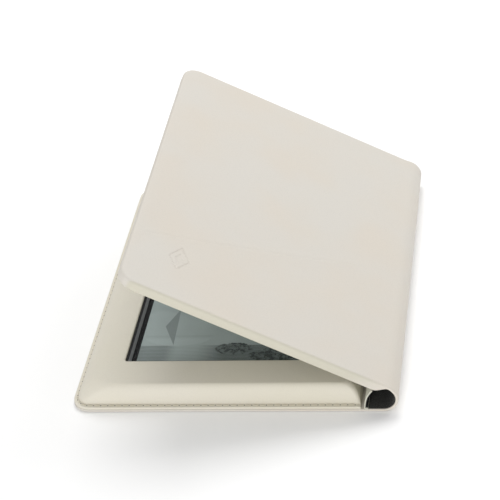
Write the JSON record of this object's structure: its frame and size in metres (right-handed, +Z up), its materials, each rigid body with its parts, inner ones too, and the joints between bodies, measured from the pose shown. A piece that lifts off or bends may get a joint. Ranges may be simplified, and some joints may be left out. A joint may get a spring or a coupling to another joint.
{
  "type": "e-reader in a leather folio",
  "caption": "Handheld electronic paper reader with a home button and a power button, held in the padded window frame of a folding leather folio with a soft spine.",
  "frame": {"origin": "middle of the flat underside of the folio's base panel", "axes": "+X from the free edge to the spine, +Y along the spine from the top of the reader to its bottom end, +Z up from the surface that the folio lies on"},
  "size_m": [0.1574, 0.19, 0.0806],
  "materials": {
    "outer_leather": "smooth cream leather with a fine low grain, satin",
    "frame_leather": "smooth cream leather moulded over the reader, satin",
    "lining_leather": "matt cream lining leather",
    "backing_cloth": "black napped backing cloth",
    "greyboard": "grey bookbinding board",
    "foam": "thin off-white foam",
    "thread": "cream twisted polyester thread",
    "bezel_plastic": "dark graphite, satin",
    "rear_plastic": "black soft-touch plastic",
    "screen": "matt grey electronic paper",
    "film": "thin matt clear film",
    "gasket": "black foam tape",
    "circuit_board": "green solder mask",
    "chip": "black moulded resin",
    "tinned_steel": "bright tinned steel",
    "chassis_metal": "pressed alloy sheet",
    "battery_foil": "silver laminate pouch",
    "flex": "amber polyimide",
    "white_plastic": "translucent white plastic"
  },
  "bodies": {
    "folio_base": {"base_outer_leather": "outer_leather", "base_board": "greyboard", "base_lining": "backing_cloth", "holder_frame_leather": "frame_leather", "holder_padding": "foam", "base_seam_thread": "thread"},
    "folio_spine": {"spine_outer_leather": "outer_leather", "spine_backing_cloth": "backing_cloth", "spine_gusset_leather": "lining_leather"},
    "folio_cover": {"cover_outer_leather": "outer_leather", "cover_foam": "foam", "cover_board": "greyboard", "cover_lining_leather": "lining_leather"},
    "home_button": {"home_button": "bezel_plastic"},
    "power_button": {"power_button": "bezel_plastic"},
    "reader": {"reader_rear_cover": "rear_plastic", "reader_front_bezel": "bezel_plastic", "reader_chassis": "chassis_metal", "display_panel": "screen", "display_front_sheet": "film", "display_gasket": "gasket", "display_flex": "flex", "display_connector": "chip", "main_board": "circuit_board", "processor_chip": "chip", "processor_shield": "tinned_steel", "memory_chip": "chip", "wifi_module": "tinned_steel", "wifi_antenna": "flex", "battery_pack": "battery_foil", "battery_lead": "backing_cloth", "battery_connector": "white_plastic", "usb_connector": "tinned_steel", "indicator_light_pipe": "white_plastic", "indicator_led": "white_plastic", "home_switch_board": "circuit_board", "home_dome_switch": "tinned_steel", "power_switch": "tinned_steel", "case_screw_1": "tinned_steel", "board_screw_1": "tinned_steel", "case_screw_2": "tinned_steel", "board_screw_2": "tinned_steel", "case_screw_3": "tinned_steel", "board_screw_3": "tinned_steel", "case_screw_4": "tinned_steel", "board_screw_4": "tinned_steel"}
  },
  "joints": [
    {"name": "spine_fold", "type": "hinge", "parent": "folio_base", "child": "folio_spine", "pos_m": [0.07, 0, 0.0008], "axis": [0, -1, 0], "range_deg": [0, 29.5]},
    {"name": "cover_fold", "type": "hinge", "parent": "folio_spine", "child": "folio_cover", "pos_m": [0.0846, 0, 0.0135], "axis": [0, 1, 0], "range_deg": [0, 156]},
    {"name": "reader_slide", "type": "slide", "parent": "folio_base", "child": "reader", "axis": [0, 1, 0], "range_m": [0, 0.175]},
    {"name": "home_button_press", "type": "slide", "parent": "reader", "child": "home_button", "axis": [0, 0, -1], "range_m": [0, 0.0005], "stiffness_N_per_m": 600, "springref_m": -0.0005},
    {"name": "power_button_press", "type": "slide", "parent": "reader", "child": "power_button", "axis": [0, -1, 0], "range_m": [0, 0.0004], "stiffness_N_per_m": 600, "springref_m": -0.0005}
  ]
}
